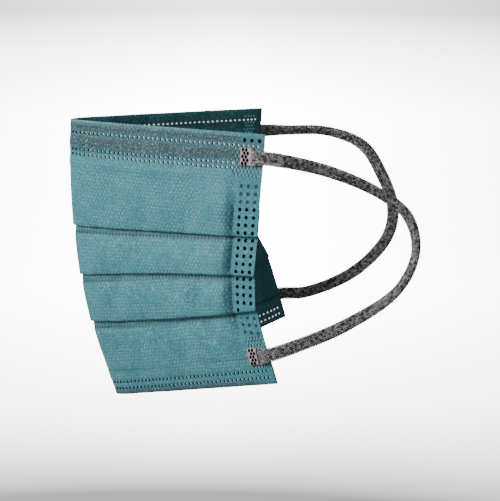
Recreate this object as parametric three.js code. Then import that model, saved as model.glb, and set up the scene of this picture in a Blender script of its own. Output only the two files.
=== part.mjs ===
// A surgical face mask, folded round its centre crease as it is when worn.
//
// Millimetres, +Z up. The origin is on the inside of the centre fold at the top edge, where the
// bridge of the nose carries the mask. The wearer faces -X, so -Y is the wearer's left.
// The cloth is one laminated sheet: top hem, three pleats that open downwards, bottom hem.

import * as THREE from "three";

// Cloth
const WALL = 1; // the laminate
const PLY_GAP = 0.3; // free room between two folded layers
const TOP_HEM = 19; // turned in over the nose wire
const BOTTOM_HEM = 11;

// The folded mask
const PANEL_REACH = 76.4; // from the front of the fold back to the side edge
const CHEEK_SPREAD = 53.4; // half the width between the lower corners
const SIDE_HEIGHT = 90.9; // between the corners of a side edge, straight down
const FOLD_HEIGHT = 110.9; // along the centre fold, straight down
const CREASE_RADIUS = 1.2; // of the innermost layer, round the centre fold
const PUFF = 1.4; // how far the cloth stands out between two edges
const SIDE_MARGIN = 10; // pressed flat and welded along each side edge

// The right half hangs a little askew, as soft cloth does. Its side edge is further forward than
// the left one at the top, further back at the bottom, and lower.
const RIGHT_LEAN_TOP = -2.5;
const RIGHT_LEAN_BOTTOM = 2.7;
const RIGHT_DROP = 1.4;

// Nose wire, in its channel below the top edge
const WIRE_LENGTH = 110;
const WIRE_WIDTH = 3.2;
const WIRE_THICKNESS = 1;
const WIRE_DEPTH = 9; // from the top edge to the middle of the wire
const WIRE_ROOM = 0.3; // clear on each side of the wire
const CHANNEL_SLOPE = 2; // how far a layer runs for each unit that it rises off the wire

// Ear loops
const BAND_WIDTH = 4.8;
const BAND_THICKNESS = 2.4;
const WELD_WIDTH = 6.4; // where the band is pressed flat
const WELD_THICKNESS = 1.2;
const WELD_ROOM = 0.3; // between the band and the cloth
const WELD_OVERLAP = 9.5; // how far an end reaches in from the side edge
const WELD_TOP_INSET = 8.6; // from the top edge to the middle of the upper end
const WELD_BOTTOM_INSET = 10.6; // from the bottom edge to the middle of the lower end
const LOOP_REACH = 57; // from the side edge to the back of the loop
const LOOP_SPREAD = 6; // scale of how far a loop stands out sideways
const BAND_TWIST = 58; // degrees that the band turns towards its edge at the back

// How finely the curves are cut
const HALF_STATIONS = 14; // from the centre fold to a side edge
const STATION_CROWDING = 3.3; // how much closer they are at the fold
const TURN_STEPS = 3; // round one turn of the cloth
const BAND_SIDES = 10;
const BAND_STEPS = 46;

// Where the cloth is bent to show its puff, as shares of the way down a stretch
const TOP_BENDS = [0.5, 0.64, 0.78]; // the channel of the wire takes the stretch above these
const MIDDLE_BENDS = [0.4];
const BOTTOM_BENDS = [0.25, 0.5, 0.75];

// The edges that run across the mask, from the top edge down. The back columns are shares of
// PANEL_REACH, out of CHEEK_SPREAD, foldDrop of FOLD_HEIGHT, sideDrop and midLift of SIDE_HEIGHT.
// Layers is how many lie behind the outer face at the fold, and puff, for the stretch that ends
// at the edge, is a share of PUFF.
const EDGES = table(
  ["foldBack", "foldDrop", "sideBack", "out", "sideDrop", "midLift", "layers", "puff"],
  [
    [0, 0, 1, 0.779, 0, 0, 2.4, 0], // top edge
    [0.01, 0.387, 0.971, 0.87, 0.408, 0, 3.3, 1], // first pleat
    [0.042, 0.556, 0.96, 0.905, 0.57, 0.008, 3.3, 0.35], // second pleat
    [0.092, 0.728, 0.97, 0.937, 0.708, -0.008, 3.3, 0.3], // third pleat
    [0.221, 1, 1.066, 1, 0.996, 0, 2.2, 1], // bottom edge
  ],
);

// How much cloth each pleat tucks under, at the fold as a share of FOLD_HEIGHT, at the side of
// SIDE_HEIGHT. The pleats open a little towards the fold.
const TUCKS = table(
  ["fold", "side"],
  [
    [0.058, 0.11], // first pleat
    [0.058, 0.11], // second pleat
    [0.056, 0.1], // third pleat
  ],
);

// The free stretch of each ear loop, from its upper end to its lower one. Back is a share of
// LOOP_REACH, drop of the height between the two ends, out of LOOP_SPREAD.
const LEFT_ROUTE = table(
  ["back", "drop", "out"],
  [
    [0.176, 0.019, 0.25], // upper shoulder
    [0.453, 0.067, 0.1],
    [0.76, 0.177, -0.3],
    [0.934, 0.295, -0.55], // back of the loop
    [0.97, 0.471, -0.65],
    [0.848, 0.661, -0.5],
    [0.509, 0.835, -0.1],
    [0.132, 0.962, 0.2], // lower shoulder
  ],
);
const RIGHT_ROUTE = table(
  ["back", "drop", "out"],
  [
    [0.191, 0.003, 0.25], // upper shoulder
    [0.478, 0.01, 0.1],
    [0.732, 0.091, -0.3],
    [0.864, 0.26, -0.55], // back of the loop
    [0.914, 0.445, -0.65],
    [0.854, 0.626, -0.5],
    [0.565, 0.836, -0.1],
    [0.187, 0.982, 0.2], // lower shoulder
  ],
);

// Rows of numbers under named columns.
function table(columns, rows) {
  return rows.map((row) => Object.fromEntries(row.map((value, i) => [columns[i], value])));
}

const LEFT = -1; // signs of Y
const RIGHT = 1;
const PITCH = WALL + PLY_GAP; // from one folded layer to the next
const FOLD_FRONT = -(2 * WALL + PLY_GAP); // the outer face, in front of the inside of the hem
const CHANNEL_LIFT = (WIRE_THICKNESS + 2 * WIRE_ROOM - PLY_GAP) / 2; // of each layer off the wire
const CHANNEL_HALF = WIRE_WIDTH / 2 + 2 * WIRE_ROOM;
const lerp = THREE.MathUtils.lerp;

// Half of an edge, from the centre fold to one side. Seen from above it is a hyperbola: round at
// the fold, nearly straight over the cheek.
class HalfEdge extends THREE.Curve {
  constructor(edge, side) {
    super();
    this.arcLengthDivisions = 400;
    this.side = side;
    const lean = side === RIGHT ? lerp(RIGHT_LEAN_TOP, RIGHT_LEAN_BOTTOM, edge.sideDrop) : 0;
    const lower = side === RIGHT ? RIGHT_DROP : 0;
    this.front = FOLD_FRONT + edge.foldBack * PANEL_REACH;
    this.reach = (edge.sideBack - edge.foldBack) * PANEL_REACH + lean;
    this.top = -edge.foldDrop * FOLD_HEIGHT;
    this.drop = -edge.sideDrop * SIDE_HEIGHT - lower - this.top;
    this.midLift = edge.midLift * SIDE_HEIGHT;
    const spread = edge.out * CHEEK_SPREAD;
    const radius = CREASE_RADIUS + edge.layers * PITCH;
    this.slope = Math.sqrt(spread ** 2 - 2 * radius * this.reach) / this.reach;
    this.scale = radius / this.slope ** 2;
    this.end = Math.acosh(this.reach / this.scale + 1);
  }

  getPoint(share, target = new THREE.Vector3()) {
    const turn = share * this.end;
    const back = this.scale * (Math.cosh(turn) - 1);
    const out = this.slope * this.scale * Math.sinh(turn);
    const along = back / this.reach;
    const height = this.top + along * this.drop + 4 * along * (1 - along) * this.midLift;
    return target.set(this.front + back, this.side * out, height);
  }

  // The level direction that points out of the mask.
  outwardAt(share) {
    const turn = this.getUtoTmapping(share) * this.end;
    const out = new THREE.Vector3(-this.slope * Math.cosh(turn), this.side * Math.sinh(turn), 0);
    return out.normalize();
  }
}

// One upright section through the cloth: where the edges are and how deep each pleat tucks.
class Section {
  constructor(side, share) {
    this.edges = halfEdges.get(side).map((edge) => edge.getPointAt(share));
    this.outward = halfEdges.get(side).map((edge) => edge.outwardAt(share));
    this.heights = this.edges.slice(1).map((point, k) => point.distanceTo(this.edges[k]));
    this.drops = [0];
    this.heights.forEach((height) => this.drops.push(this.drops.at(-1) + height));
    this.tucks = TUCKS.map((tuck) => lerp(tuck.fold * FOLD_HEIGHT, tuck.side * SIDE_HEIGHT, share));
    this.puff = share < MARGIN_SHARE ? PUFF * Math.sin((Math.PI * share) / MARGIN_SHARE) : 0;
    this.lift = CHANNEL_LIFT * (1 - THREE.MathUtils.smoothstep(share, WIRE_SHARE, MARGIN_SHARE));
  }

  // Which stretch of cloth a drop below the top edge lies in, and how far down it.
  place(drop) {
    let k = this.heights.length - 1;
    while (k > 0 && drop < this.drops[k]) k -= 1;
    return { k, down: (drop - this.drops[k]) / this.heights[k] };
  }

  // Below a pleat the cloth starts two layers in and comes back out towards the next edge.
  inset(drop) {
    const { k, down } = this.place(drop);
    return k === 0 ? 0 : 2 * PITCH * (1 - down);
  }

  point(drop, depth) {
    const { k, down } = this.place(drop);
    const outward = this.outward[k].clone().lerp(this.outward[k + 1], down).normalize();
    const swell = Math.sin(Math.PI * THREE.MathUtils.clamp(down, 0, 1));
    const bulge = EDGES[k + 1].puff * this.puff * swell;
    const base = this.edges[k].clone().lerp(this.edges[k + 1], down);
    return base.addScaledVector(outward, bulge - depth);
  }

  // A point over the outer face of the cloth that shows.
  face(drop, clear) {
    return this.point(drop, this.inset(drop) - clear);
  }
}

const halfEdges = new Map(
  [LEFT, RIGHT].map((side) => [side, EDGES.map((edge) => new HalfEdge(edge, side))]),
);
const HALF_WIDTH = halfEdges.get(LEFT)[0].getLength(); // of the cloth, along the top edge
const MARGIN_SHARE = 1 - SIDE_MARGIN / HALF_WIDTH;
const WIRE_SHARE = WIRE_LENGTH / 2 / HALF_WIDTH;

// A half turn of the cloth from one layer to the next one in, round a point at that drop.
function turn(drop, depth, downwards) {
  const points = [];
  for (let step = 0; step <= TURN_STEPS; step += 1) {
    const angle = (Math.PI * step) / TURN_STEPS;
    const along = (downwards ? 1 : -1) * (PITCH / 2) * Math.sin(angle);
    points.push([drop + along, depth + (PITCH / 2) * (1 - Math.cos(angle))]);
  }
  return points;
}

// The middle of the cloth from the end of the top hem to the end of the bottom hem, as pairs of
// drop below the top edge and depth below the outer face.
function clothPath(section) {
  const { drops, tucks, lift } = section;
  const mid = WALL / 2;
  const turnInset = WALL / 2 + PITCH / 2; // from the tip of a turn to its centre
  const slope = CHANNEL_SLOPE * CHANNEL_LIFT;
  const channel = [
    [WIRE_DEPTH - CHANNEL_HALF - slope, 0],
    [WIRE_DEPTH - CHANNEL_HALF, lift],
    [WIRE_DEPTH + CHANNEL_HALF, lift],
    [WIRE_DEPTH + CHANNEL_HALF + slope, 0],
  ];
  const path = [[TOP_HEM, mid + PITCH]];
  channel.toReversed().forEach(([drop, raised]) => path.push([drop, mid + PITCH + raised]));
  path.push(...turn(turnInset, mid, false).toReversed());
  channel.forEach(([drop, raised]) => path.push([drop, mid - raised]));

  const visible = (k, shares) => {
    shares.forEach((down) => {
      const drop = lerp(drops[k], drops[k + 1], down);
      path.push([drop, mid + section.inset(drop)]);
    });
  };
  visible(0, TOP_BENDS);
  tucks.forEach((tuck, k) => {
    const lowTurn = drops[k + 1] - turnInset;
    const highTurn = drops[k + 1] - tuck + turnInset;
    path.push(...turn(lowTurn, mid + section.inset(lowTurn), true));
    path.push(...turn(highTurn, mid + PITCH + section.inset(highTurn), false));
    path.push([drops[k + 1], mid + 2 * PITCH]);
    visible(k + 1, k + 1 === tucks.length ? BOTTOM_BENDS : MIDDLE_BENDS);
  });
  const bottomTurn = drops.at(-1) - turnInset;
  path.push(...turn(bottomTurn, mid + section.inset(bottomTurn), true));
  const hemEnd = drops.at(-1) - BOTTOM_HEM;
  path.push([hemEnd, mid + PITCH + section.inset(hemEnd)]);
  return path.map(([drop, depth]) => new THREE.Vector2(drop, depth));
}

// The outline of a wall of even thickness along a path.
function thicken(path, thickness) {
  const sides = [[], []];
  path.forEach((point, i) => {
    const before = path[Math.max(i - 1, 0)];
    const after = path[Math.min(i + 1, path.length - 1)];
    const into = (i > 0 ? point.clone().sub(before) : after.clone().sub(point)).normalize();
    const outOf = (i < path.length - 1 ? after.clone().sub(point) : into.clone()).normalize();
    const along = into.clone().add(outOf).normalize();
    const across = new THREE.Vector2(-along.y, along.x);
    const reach = thickness / 2 / along.dot(into);
    sides[0].push(point.clone().addScaledVector(across, reach));
    sides[1].push(point.clone().addScaledVector(across, -reach));
  });
  return [...sides[1], ...sides[0].reverse()];
}

// A closed body through rings of points. A ring runs along one face of a wall and back along the
// other, so each end is filled by strips from the first face across to the second.
function loft(rings) {
  const count = rings[0].length;
  const faces = [];
  for (let r = 0; r + 1 < rings.length; r += 1) {
    for (let i = 0; i < count; i += 1) {
      const [a, b] = [r * count + i, r * count + ((i + 1) % count)];
      faces.push(a, b, b + count, a, b + count, a + count);
    }
  }
  const last = (rings.length - 1) * count;
  for (let i = 0; i + 1 < count / 2; i += 1) {
    const [a, b, c, d] = [i, i + 1, count - 2 - i, count - 1 - i];
    faces.push(c, b, a, d, c, a);
    faces.push(last + a, last + b, last + c, last + a, last + c, last + d);
  }
  const geometry = new THREE.BufferGeometry();
  const positions = rings.flat().flatMap((point) => point.toArray());
  geometry.setAttribute("position", new THREE.Float32BufferAttribute(positions, 3));
  geometry.setIndex(faces);
  geometry.computeVertexNormals();
  return geometry;
}

// Sections from the right side round the centre fold to the left side, as far out as the limit.
function sectionsAcross(limit) {
  const shares = [MARGIN_SHARE];
  for (let i = 0; i < HALF_STATIONS; i += 1) {
    const crowded = Math.sinh((STATION_CROWDING * i) / HALF_STATIONS);
    shares.push(crowded / Math.sinh(STATION_CROWDING));
  }
  const kept = shares.filter((share) => share < limit);
  kept.push(limit);
  kept.sort((a, b) => a - b);
  const right = kept.slice(1).map((share) => new Section(RIGHT, share));
  const left = kept.map((share) => new Section(LEFT, share));
  return [...right.reverse(), ...left];
}

function pleatedPanel() {
  const sections = sectionsAcross(1);
  const outlines = sections.map((section) => thicken(clothPath(section), WALL));
  const rings = sections.map((section, i) => outlines[i].map((at) => section.point(at.x, at.y)));
  return loft(rings);
}

function noseWire() {
  const middle = WALL + PLY_GAP / 2;
  const [high, low] = [WIRE_DEPTH - WIRE_WIDTH / 2, WIRE_DEPTH + WIRE_WIDTH / 2];
  const [front, behind] = [middle - WIRE_THICKNESS / 2, middle + WIRE_THICKNESS / 2];
  const outline = [
    new THREE.Vector2(low, front),
    new THREE.Vector2(low, behind),
    new THREE.Vector2(high, behind),
    new THREE.Vector2(high, front),
  ];
  const sections = sectionsAcross(WIRE_SHARE);
  return loft(sections.map((section) => outline.map((at) => section.point(at.x, at.y))));
}

// A point over the outer face where a band is welded on, in from the side edge.
function weldPoint(side, fromTop, inset, lower, clear) {
  const section = new Section(side, 1 - inset / HALF_WIDTH);
  const middle = fromTop ? WELD_TOP_INSET : section.drops.at(-1) - WELD_BOTTOM_INSET;
  return section.face(middle + lower, clear);
}

// Square to the outer face, under the welded end of a band.
function faceDirection(side, fromTop) {
  const down = weldPoint(side, fromTop, WELD_OVERLAP / 2, WELD_WIDTH / 2, 0);
  down.sub(weldPoint(side, fromTop, WELD_OVERLAP / 2, -WELD_WIDTH / 2, 0));
  const backwards = weldPoint(side, fromTop, 0, 0, 0);
  backwards.sub(weldPoint(side, fromTop, WELD_OVERLAP, 0, 0));
  return down.cross(backwards).multiplyScalar(-side).normalize();
}

// The middle of one band: along the outer face at each end, and free between them.
function bandPath(side, route) {
  const clear = WELD_ROOM + WELD_THICKNESS / 2;
  const onFace = (inset, fromTop) => weldPoint(side, fromTop, inset, 0, clear);
  const high = onFace(0, true);
  const low = onFace(0, false);
  const free = route.map((row) => {
    const point = high.clone().lerp(low, row.drop);
    return point.add(new THREE.Vector3(row.back * LOOP_REACH, side * row.out * LOOP_SPREAD, 0));
  });
  const upper = [onFace(WELD_OVERLAP, true), onFace(WELD_OVERLAP / 2, true), high];
  const lower = [low, onFace(WELD_OVERLAP / 2, false), onFace(WELD_OVERLAP, false)];
  return new THREE.CatmullRomCurve3([...upper, ...free, ...lower], false, "centripetal");
}

// A knitted elastic band. It lies flat on the cloth at its ends and turns towards its edge behind.
function earLoop(side, route) {
  const path = bandPath(side, route);
  const length = path.getLength();
  const sideways = new THREE.Vector3(0, side, 0);
  const welded = [faceDirection(side, true), faceDirection(side, false)];
  const outline = [];
  for (let i = 0; i < BAND_SIDES; i += 1) {
    const angle = (2 * Math.PI * (i + 0.5)) / BAND_SIDES;
    outline.push(new THREE.Vector2(Math.cos(angle) / 2, Math.sin(angle) / 2));
  }
  const rings = [];
  for (let step = 0; step <= BAND_STEPS; step += 1) {
    const share = step / BAND_STEPS;
    const fromEnd = Math.min(share, 1 - share) * length;
    const free = THREE.MathUtils.smoothstep(fromEnd, WELD_OVERLAP, 2 * WELD_OVERLAP);
    const twist = THREE.MathUtils.degToRad(BAND_TWIST) * Math.sin(Math.PI * share) ** 2 * free;
    const along = path.getTangentAt(share);
    const level = welded[share < 0.5 ? 0 : 1].clone().lerp(sideways, free);
    const flat = level.cross(along).cross(along).negate().normalize();
    const upright = flat.clone().cross(along).normalize();
    const across = upright.clone().applyAxisAngle(along, twist);
    const through = flat.clone().applyAxisAngle(along, twist);
    const width = lerp(WELD_WIDTH, BAND_WIDTH, free);
    const thickness = lerp(WELD_THICKNESS, BAND_THICKNESS, free);
    const middle = path.getPointAt(share);
    middle.addScaledVector(flat, (thickness - WELD_THICKNESS) / 2);
    rings.push(
      outline.map((at) =>
        middle
          .clone()
          .addScaledVector(across, at.x * width)
          .addScaledVector(through, at.y * thickness),
      ),
    );
  }
  return loft(rings);
}

function part(name, geometry, color, roughness, metalness) {
  const material = new THREE.MeshStandardMaterial({ color, roughness, metalness });
  const mesh = new THREE.Mesh(geometry, material);
  mesh.name = name;
  return mesh;
}

const mask = new THREE.Group();
mask.name = "face_mask";
mask.add(part("pleated_panel", pleatedPanel(), 0x58969e, 0.85, 0));
mask.add(part("nose_wire", noseWire(), 0xd8dadb, 0.45, 0.1));
mask.add(part("ear_loop_left", earLoop(LEFT, LEFT_ROUTE), 0x6e696e, 0.9, 0));
mask.add(part("ear_loop_right", earLoop(RIGHT, RIGHT_ROUTE), 0x6e696e, 0.9, 0));

export default mask;
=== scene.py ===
import functools
import math

import bpy
import numpy as np
from mathutils import Matrix, Vector


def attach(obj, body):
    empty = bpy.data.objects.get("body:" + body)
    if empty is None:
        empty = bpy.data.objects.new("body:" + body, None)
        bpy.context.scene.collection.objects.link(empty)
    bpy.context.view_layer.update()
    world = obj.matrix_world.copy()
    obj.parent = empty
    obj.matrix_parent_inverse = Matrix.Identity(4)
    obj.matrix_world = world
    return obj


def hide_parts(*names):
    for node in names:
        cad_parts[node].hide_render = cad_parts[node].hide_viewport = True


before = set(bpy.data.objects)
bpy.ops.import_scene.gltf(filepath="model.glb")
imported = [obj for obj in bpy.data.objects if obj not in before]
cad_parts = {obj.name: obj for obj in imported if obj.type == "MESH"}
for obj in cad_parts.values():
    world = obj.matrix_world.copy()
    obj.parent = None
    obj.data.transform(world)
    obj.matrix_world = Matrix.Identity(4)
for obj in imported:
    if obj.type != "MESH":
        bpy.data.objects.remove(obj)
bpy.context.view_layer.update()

# A surgical face mask, folded round its centre crease as it is when worn.
#
# Lengths are millimetres until a mesh is made, in the part's frame: +Z up, the origin on the inside
# of the centre fold at the top edge, and the wearer's left at -Y. The rails of the cloth and the
# routes of the bands follow the part's own, with real cloth in place of its thicker walls.

MM = 0.001
LEFT, RIGHT = -1, 1

# The laminate: three bonded layers, thin and soft
CLOTH = 0.5
PLY_GAP = 0.1
PITCH = CLOTH + PLY_GAP
TOP_HEM = 17.8
BOTTOM_HEM = 10.4

# The folded mask
PANEL_REACH = 76.4
CHEEK_SPREAD = 53.4
SIDE_HEIGHT = 91.5
FOLD_HEIGHT = 111.7
FOLD_FRONT = -2.3
CREASE_RADIUS = 0.7
PUFF = 1.4
# The cloth stands out beside the pressed side margin, behind a crease. Lengths run inwards from the
# margin, and the run is where both fade in below the top edge and out above the bottom one.
PILLOW = {"height": 1.8, "start": 0.6, "full": 3.8, "middle": 4, "width": 9}
PILLOW_CREASE = {"depth": 0.75, "middle": 0.9, "width": 1.2}
PILLOW_RUN = {"top": (14, 30), "bottom": (9, 24)}
FOLD_BOW = 0.65  # how far the fold bows forwards between the top edge and the first pleat
INSET_RUN = {"fold": 3, "side": 14}  # how soon the cloth below a pleat comes back out
PRESS_DEPTH = 0.22
PRESS_WIDTH = 0.45
ROW_GROOVE = {"depth": 0.16, "width": 0.9}  # along the rows of weld dots
HEM_PRINT = {"height": 0.12, "run": 0.6, "ridge": 0.5}  # of a hem's raw edge, through the cloth
LOOSE_RUN = 0.08  # share of the half width over which dents and waves fade out at the margin
STIFF_FOLD = 8  # and how far from the fold the waves reach their full height
PRESS_GAP = {"fold": 2.3, "side": 0.9}  # from a pleat's edge to the crease pressed below it
SIDE_MARGIN = 10
RIGHT_DROP = 1

# How far the side cut is slanted, so that inner layers end sooner: share of their depth
SIDE_TRIM = {LEFT: 0.3, RIGHT: 1.1}

# Nose wire, in its pocket below the top edge
WIRE_LENGTH = 110
WIRE_WIDTH = 3.2
WIRE_THICKNESS = 1
WIRE_DEPTH = 9
WIRE_ROOM = 0.12
WIRE_SPREAD = WIRE_THICKNESS + 2 * WIRE_ROOM - PLY_GAP  # how much further apart it holds the layers
POCKET_RUN = 0.6
POCKET_OUTWARDS = 0.12  # share of the wire's room that the outer layer makes

# Ear loops
BAND_THICKNESS = 2.1
BAND_WIDTHS = {"end": 6.7, "pressed": 6.4, "edge": 5, "free": 4.6}  # at and after a welded end
WELD_WIDTH = 6.4
WELD_THICKNESS = 0.9
WELD_ROOM = 0.05
WELD_OVERLAP = 9.2
WELD_TOP_INSET = {LEFT: 8.6, RIGHT: 10}
WELD_BOTTOM_INSET = {LEFT: 11.3, RIGHT: 10.6}
LOOP_REACH = 57
LOOP_SPREAD = 6


def table(columns, rows):
    """Rows of numbers under named columns."""
    return [dict(zip(columns, row)) for row in rows]


# The edges that run across the mask, from the top edge down. Back, drop, out and lift are shares of
# the sizes above, a lean moves a side end back and a gape holds the cloth below a pleat clear of it,
# both in millimetres.
EDGES = table(
    ["foldBack", "foldDrop", "sideBack", "leanLeft", "leanRight", "out", "sideDrop", "midLift"]
    + ["layers", "puff", "gapeFold", "gapeCheek"],
    [
        [0, 0, 1, 0.2, -2, 0.779, 0, 0, 2.4, 0, 0, 0],  # top edge
        [0.001, 0.378, 0.971, -0.6, -2.9, 0.87, 0.412, 0, 3.3, 1, 0, 0.2],  # first pleat
        [0.03, 0.557, 0.96, -0.9, -2, 0.905, 0.57, 0.011, 3.3, 0.35, 0, 0.2],  # second pleat
        [0.081, 0.728, 0.97, -1, 3.3, 0.937, 0.708, -0.008, 3.3, 0.3, 0.2, 0.2],  # third pleat
        [0.213, 1, 1.066, -0.2, 3, 1, 1.002, 0, 2.2, 0.5, 0, 0],  # bottom edge
    ],
)
TUCKS = table(["fold", "side"], [[0.058, 0.11], [0.058, 0.11], [0.056, 0.1]])

# Places along each ear loop: shares of its reach, of the way down between its welds, and of its
# spread outwards, with the turn of the band about its own line in degrees.
LEFT_ROUTE = table(
    ["back", "drop", "out", "twist"],
    [
        [0.176, 0.016, 0.25, 8],
        [0.453, 0.072, 0.1, 20],
        [0.75, 0.18, -0.3, 42],
        [0.926, 0.295, -0.55, 42],
        [0.976, 0.474, -0.65, 66],
        [0.857, 0.667, -0.5, 66],
        [0.508, 0.844, -0.1, 34],
        [0.132, 0.961, 0.2, 8],
    ],
)
RIGHT_ROUTE = table(
    ["back", "drop", "out", "twist"],
    [
        [0.191, 0, 0.25, 38],
        [0.478, 0.003, 0.1, 42],
        [0.728, 0.081, -0.3, 22],
        [0.848, 0.256, -0.55, 5],
        [0.904, 0.445, -0.65, 3],
        [0.846, 0.63, -0.5, 5],
        [0.572, 0.858, -0.1, 22],
        [0.187, 0.996, 0.2, 34],
    ],
)

# Weld dots. Rows run along the hems, columns down the side margins.
TOP_DOT_ROWS = [4.7, 11.3, 13.2]
BOTTOM_DOT_ROWS = [5.4, 2.7]
ROW_DOT_PITCH = 2.05
ROW_DOT_RADIUS = 0.56
BEHIND_DOT_RADIUS = 0.43  # of the same dots on the inner face
FILM = 0.1  # what is left of the cloth in the floor of a row dot
FILM_BEHIND = 0.3  # from the front of the hem layer to the film
SIDE_DOT_COLUMNS = [2, 5.2, 8.3]
SIDE_DOT_PITCH = 2.9
SIDE_DOT_RADIUS = 0.78
SIDE_DOT_DEPTH = 0.3
FAINT_DOT_DEPTH = 0.12
TOP_SIDE_DOT = 2.6  # one dot at the head of each column
FAINT_ABOVE = 25.5  # the dots that close to the top edge hardly marked the cloth

CUTTER = {"row": 3, "deep": 2, "shallow": 1.5}  # how far a dot's cutter reaches from its floor

# The horn that welds an ear loop on leaves a patch of staggered dots
HORN_PITCH = 1.55
HORN_ROW = 1.38
HORN_DOT_RADIUS = 0.52
HORN_DOT_DEPTH = 0.4
HORN_SEEN_BEHIND = {"radius": 0.36, "depth": 0.14, "from": 2.8, "reach": 8.8}  # on the top hem
HORN_REACH = {"top": 12.6, "bottom": 9.6}  # in from the side edge
HORN_HEIGHT = 14.2
PRESSED_END = 4  # of a band, where only its cells show and no stitches
CELL_PITCH = 1.42
CELL_ROW = 1.27
CELL_RADIUS = 0.6
CELL_TALL = 1.2  # as a share of its width
CELL_DEPTH = 0.6

# The knit of the ear loops
COURSE_PITCH = 1
WALES = 12
YARN_THICKNESS = 0.3
BAND_GROOVE = {"depth": 0.24, "width": 0.16, "pressed": 0.3}  # shares of the band's size
BAND_SQUARENESS = 0.8  # of its section: 1 is an ellipse
BAND_SPRING = 3  # how soon it starts to spring back behind its pressed end
CORE_INSET = 0.22  # of the core under the stitches
STITCH_INSET = 0.12
PALE_RUN = (1, 14)  # past the pressed end
BAND_STATIONS = 200
ROUTE_STEPS = 24
BAND_SIDES = 28

# Soft dents in the near and far cheek: side, millimetres back from the fold and below the top
# edge, half lengths along and across the dent, its turn in degrees, and its depth.
DENTS = table(
    ["side", "along", "drop", "long", "wide", "turn", "deep"],
    [
        [LEFT, 35, 48, 6.5, 1.8, 82, 0.75],
        [LEFT, 50, 63.5, 5, 1.6, 70, 0.6],
        [LEFT, 61, 77, 7, 1.5, 48, 0.7],
        [LEFT, 66, 82, 6, 1.5, 55, 0.5],
        [LEFT, 16, 88, 10, 3.5, 60, 0.5],
        [LEFT, 74, 46, 5, 2, 30, 0.5],
        [LEFT, 4.5, 66, 4, 1.9, 90, 0.5],
        [LEFT, 5, 46.5, 5, 2.2, 90, 0.4],
        [RIGHT, 30, 50, 7, 2, 85, 0.45],
        [RIGHT, 55, 66, 6, 1.8, 65, 0.4],
        [RIGHT, 62, 80, 7, 1.8, 50, 0.45],
    ],
)

# Slow waves in the cloth: wave lengths along and down it, phase in turns, height
WAVES = table(
    ["along", "down", "phase", "height"],
    [
        [31, 47, 0.15, 0.12],
        [19, -38, 0.6, 0.1],
        [13, 24, 0.35, 0.07],
        [9.5, -17, 0.8, 0.04],
    ],
)

# How finely the cloth is cut
HALF_STATIONS = 86
FOLD_CROWDING = 0.4
CLOTH_STEP = 1.3
HIDDEN_STEP = 2.6
TURN_STEPS = 4
SHARP_ANGLE = math.radians(55)  # edges turned further than this are shaded sharp


def lerp(a, b, share):
    return a + (b - a) * share


def smooth(low, high, value):
    """0 below low, 1 above high and an even S between them."""
    share = np.clip((value - low) / (high - low), 0, 1)
    return share * share * (3 - 2 * share)


def hump(distance, half_width):
    return np.exp(-((distance / half_width) ** 2))


class HalfEdge:
    """Half of an edge, from the centre fold to one side: a hyperbola seen from above."""

    DIVISIONS = 400

    def __init__(self, edge, side):
        right = side == RIGHT
        lean = edge["leanRight"] if right else edge["leanLeft"]
        self.side = side
        self.front = FOLD_FRONT + edge["foldBack"] * PANEL_REACH
        self.reach = (edge["sideBack"] - edge["foldBack"]) * PANEL_REACH + lean
        self.top = -edge["foldDrop"] * FOLD_HEIGHT
        self.drop = -edge["sideDrop"] * SIDE_HEIGHT - (RIGHT_DROP if right else 0) - self.top
        self.mid_lift = edge["midLift"] * SIDE_HEIGHT
        spread = edge["out"] * CHEEK_SPREAD
        radius = CREASE_RADIUS + edge["layers"] * PITCH
        self.slope = math.sqrt(spread**2 - 2 * radius * self.reach) / self.reach
        self.scale = radius / self.slope**2
        self.end = math.acosh(self.reach / self.scale + 1)
        self.turns = np.linspace(0, self.end, self.DIVISIONS + 1)
        steps = np.linalg.norm(np.diff(self.points(self.turns), axis=0), axis=1)
        self.lengths = np.concatenate([[0], np.cumsum(steps)])

    def points(self, turns):
        back = self.scale * (np.cosh(turns) - 1)
        out = self.slope * self.scale * np.sinh(turns)
        along = back / self.reach
        height = self.top + along * self.drop + 4 * along * (1 - along) * self.mid_lift
        return np.stack([self.front + back, self.side * out, height], axis=-1)

    def at(self, shares):
        """Points at even shares of its length, and the level direction out of the mask there."""
        turns = np.interp(shares * self.lengths[-1], self.lengths, self.turns)
        out = [-self.slope * np.cosh(turns), self.side * np.sinh(turns), np.zeros_like(turns)]
        outward = np.stack(out, axis=-1)
        outward /= np.linalg.norm(outward, axis=-1, keepdims=True)
        return self.points(turns), outward


half_edges = {side: [HalfEdge(edge, side) for edge in EDGES] for side in (LEFT, RIGHT)}
HALF_WIDTH = half_edges[LEFT][0].lengths[-1]
MARGIN_SHARE = 1 - SIDE_MARGIN / HALF_WIDTH
WIRE_SHARE = WIRE_LENGTH / 2 / HALF_WIDTH


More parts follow.
